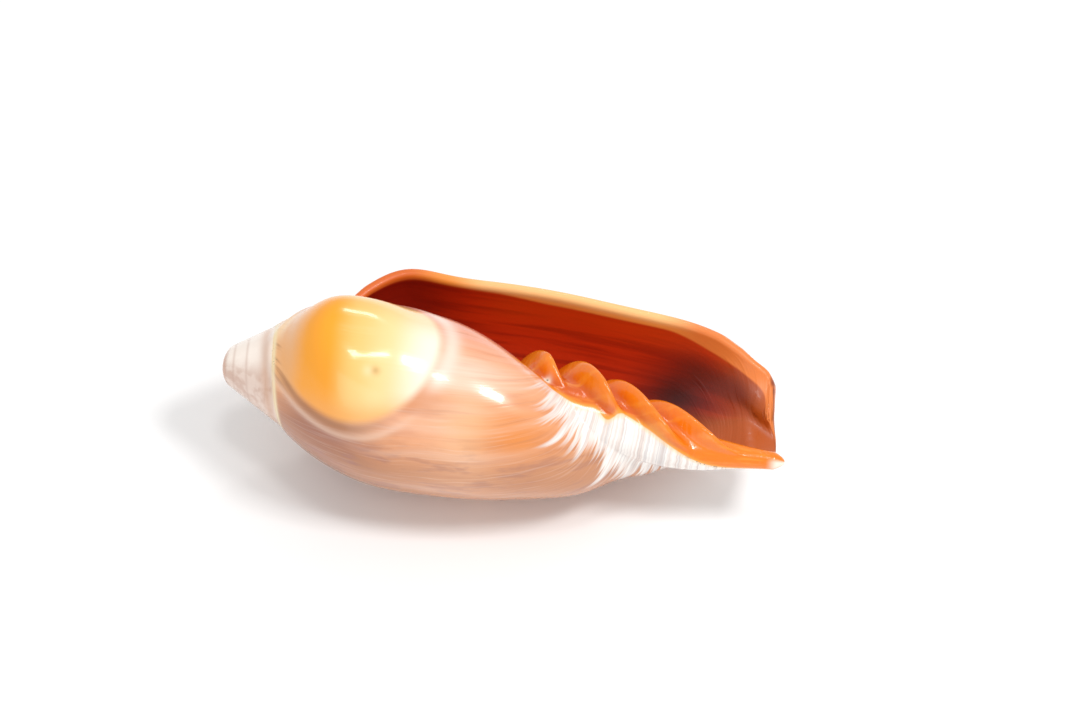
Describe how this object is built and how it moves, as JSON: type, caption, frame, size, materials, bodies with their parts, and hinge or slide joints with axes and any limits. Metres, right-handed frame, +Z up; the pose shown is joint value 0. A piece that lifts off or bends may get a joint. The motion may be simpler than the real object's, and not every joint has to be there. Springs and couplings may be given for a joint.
{
  "type": "marginella shell",
  "caption": "Large glossy marginella shell lying on its back, with a low spire, a callus hump, a long open aperture and folds on its columella.",
  "frame": {"origin": "centre of the bounding box in plan, on the surface that the shell lies on", "axes": "+X along the coiling axis from the apex to the front tip, +Z up as it lies, +Y towards the outer lip"},
  "size_m": [0.1, 0.043, 0.0389],
  "materials": {
    "shell": "polished shell, salmon with an orange inner lip and a cream callus"
  },
  "bodies": {
    "root": {"marginella_shell": "shell"}
  },
  "joints": []
}
